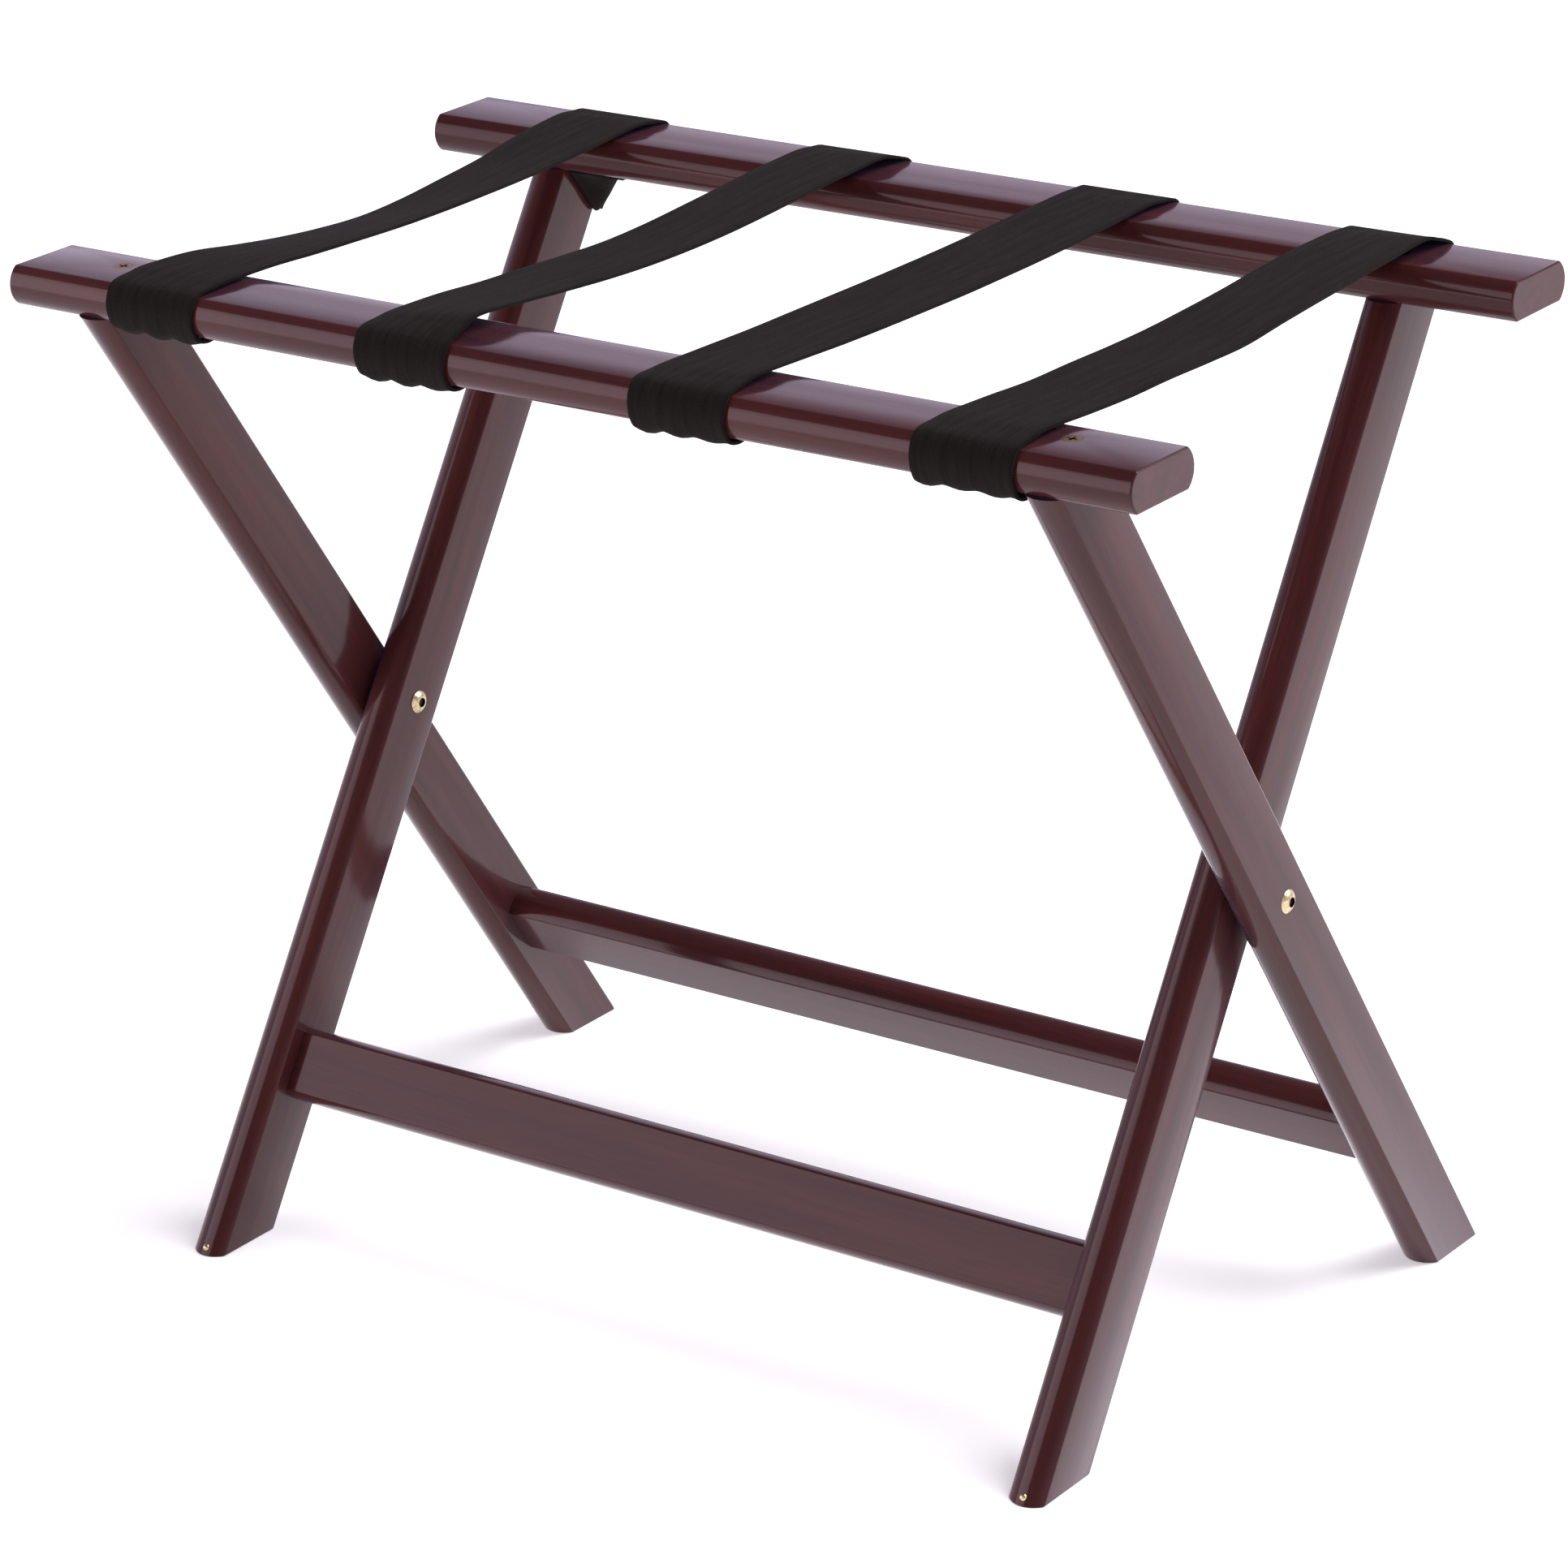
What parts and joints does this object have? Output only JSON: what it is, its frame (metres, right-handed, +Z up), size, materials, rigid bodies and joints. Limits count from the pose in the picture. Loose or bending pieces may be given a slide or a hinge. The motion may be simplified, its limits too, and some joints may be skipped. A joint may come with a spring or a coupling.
{
  "type": "folding luggage rack",
  "caption": "Folding luggage rack: crossed hardwood leg frames on pivot bolts, flat top rails with rounded sides, low stretchers and webbing straps tacked over the rails.",
  "frame": {"origin": "on the floor, at the middle of the rack's length and depth", "axes": "+X along the rails to the right, +Y to the rear rail, +Z up"},
  "size_m": [0.61, 0.3578, 0.4861],
  "materials": {
    "mahogany": "dark mahogany stain under a gloss lacquer",
    "dowel": "bare beech",
    "webbing": "woven black nylon webbing",
    "brass": "polished brass",
    "washer": "black nylon",
    "tacks": "blued steel"
  },
  "bodies": {
    "outer_frame": {"front_rail": "mahogany", "outer_leg_left": "mahogany", "outer_leg_right": "mahogany", "rear_stretcher": "mahogany", "pivot_bolt_left": "brass", "pivot_bolt_right": "brass", "pivot_barrel_nut_left": "brass", "pivot_barrel_nut_right": "brass", "pivot_washer_left": "washer", "pivot_washer_right": "washer", "strap_1": "webbing", "strap_2": "webbing", "strap_3": "webbing", "strap_4": "webbing", "front_strap_tacks": "tacks", "front_rail_screws": "brass", "rear_stretcher_dowels": "dowel", "outer_foot_brads": "brass"},
    "inner_frame": {"rear_rail": "mahogany", "inner_leg_left": "mahogany", "inner_leg_right": "mahogany", "front_stretcher": "mahogany", "rear_strap_tacks": "tacks", "rear_rail_screws": "brass", "front_stretcher_dowels": "dowel", "inner_foot_brads": "brass"}
  },
  "joints": [
    {"name": "fold", "type": "hinge", "parent": "outer_frame", "child": "inner_frame", "pos_m": [0, 0, 0.23045], "axis": [1, 0, 0], "range_deg": [0, 52], "deforming": ["strap_1", "strap_2", "strap_3", "strap_4"]}
  ]
}
